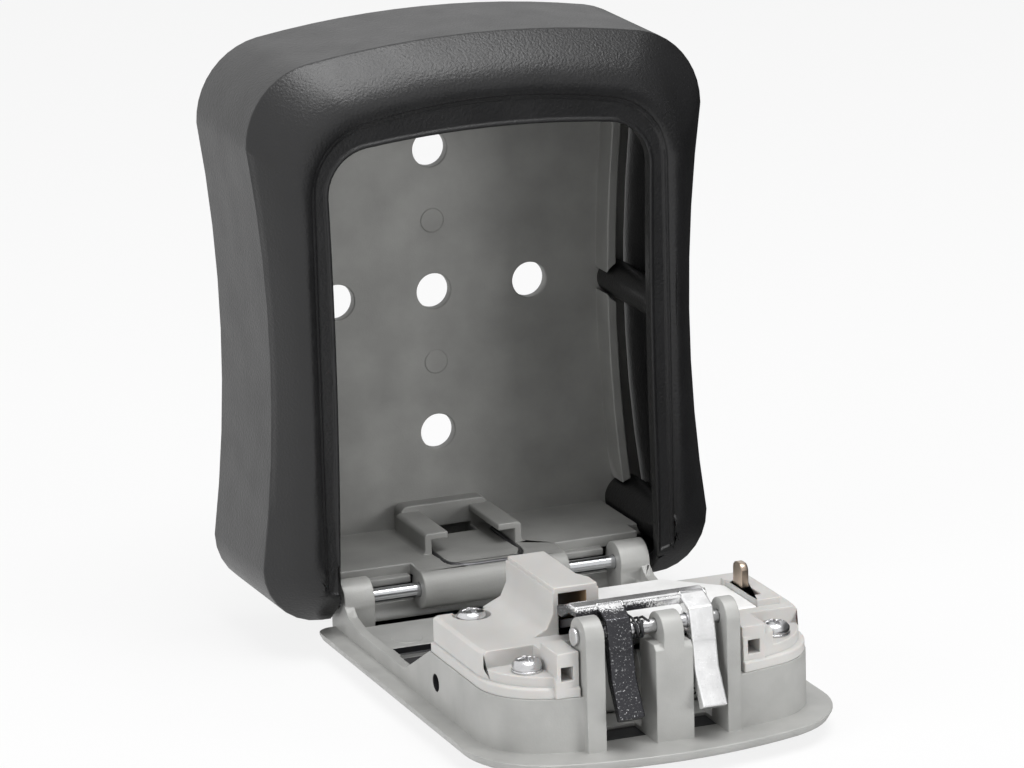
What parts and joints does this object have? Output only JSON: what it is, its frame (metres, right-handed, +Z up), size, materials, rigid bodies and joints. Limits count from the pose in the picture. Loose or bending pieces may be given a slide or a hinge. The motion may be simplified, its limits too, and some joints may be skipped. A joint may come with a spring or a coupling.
{
  "type": "combination key safe",
  "caption": "Wall-mounted key safe with a bottom-hinged door that stands open, showing the dial lock's covered mechanism, its spring latch and the drilled inner housing.",
  "frame": {"origin": "centre of the middle wall hole, on the wall plane at the back", "axes": "X to the right seen from the front, -Y out of the wall to the front, Z up"},
  "size_m": [0.095, 0.1264, 0.1201],
  "materials": {
    "shell_black": "fine-grained satin black",
    "casting_grey": "satin grey zinc casting",
    "fastener": "zinc plated",
    "pin_bright": "bright drawn rod",
    "wire_dark": "dark drawn wire",
    "door_grey": "light satin grey zinc casting",
    "insert_black": "satin black",
    "shutter_black": "satin black",
    "slider_black": "satin black",
    "cover_grey": "warm light grey, satin",
    "bridge_grey": "satin grey zinc casting",
    "dial_white": "satin white",
    "brass": "turned brass",
    "spring_steel": "spring strip",
    "latch_chrome": "bright plated"
  },
  "bodies": {
    "case": {"shell": "shell_black", "housing": "casting_grey", "case_screws": "fastener", "hinge_pin": "pin_bright", "clip_wire": "wire_dark"},
    "door": {"door": "door_grey", "front_insert": "insert_black", "mechanism_cover": "cover_grey", "lock_bridge": "bridge_grey", "cover_screws": "fastener", "cover_washers": "fastener", "dial_shaft": "fastener", "detent_spring": "spring_steel", "latch_pin": "fastener", "latch_spring": "spring_steel"},
    "latch": {"latch": "latch_chrome"},
    "release": {"release_slider": "slider_black"},
    "shutter": {"shutter": "shutter_black"},
    "reset": {"reset_lever": "brass"},
    "dial_1": {"dial_1": "dial_white", "sleeve_1": "brass"},
    "dial_2": {"dial_2": "dial_white", "sleeve_2": "brass"},
    "dial_3": {"dial_3": "dial_white", "sleeve_3": "brass"},
    "dial_4": {"dial_4": "dial_white", "sleeve_4": "brass"}
  },
  "joints": [
    {"name": "door_hinge", "type": "hinge", "parent": "case", "child": "door", "pos_m": [0, -0.0298, -0.0524], "axis": [1, 0, 0], "range_deg": [-90, 0]},
    {"name": "release_slide", "type": "slide", "parent": "door", "child": "release", "axis": [0, 1, 0], "range_m": [0, 0.005]},
    {"name": "latch_turn", "type": "hinge", "parent": "door", "child": "latch", "pos_m": [0, -0.1151, -0.0373], "axis": [1, 0, 0], "range_deg": [0, 10], "stiffness_Nm_per_rad": 0.02, "springref_deg": -11.46},
    {"name": "shutter_slide", "type": "slide", "parent": "door", "child": "shutter", "axis": [0, -1, 0], "range_m": [0, 0.0395]},
    {"name": "reset_slide", "type": "slide", "parent": "door", "child": "reset", "axis": [0, -1, 0], "range_m": [0, 0.0045]},
    {"name": "dial_1_spin", "type": "hinge", "parent": "door", "child": "dial_1", "pos_m": [-0.0114, -0.0951, -0.0528], "axis": [1, 0, 0], "continuous": true},
    {"name": "dial_2_spin", "type": "hinge", "parent": "door", "child": "dial_2", "pos_m": [-0.0038, -0.0951, -0.0528], "axis": [1, 0, 0], "continuous": true},
    {"name": "dial_3_spin", "type": "hinge", "parent": "door", "child": "dial_3", "pos_m": [0.0038, -0.0951, -0.0528], "axis": [1, 0, 0], "continuous": true},
    {"name": "dial_4_spin", "type": "hinge", "parent": "door", "child": "dial_4", "pos_m": [0.0114, -0.0951, -0.0528], "axis": [1, 0, 0], "continuous": true}
  ],
  "couplings": [
    {"joint": "latch_turn", "follows": "release_slide", "rad_per_m": 34.9}
  ]
}
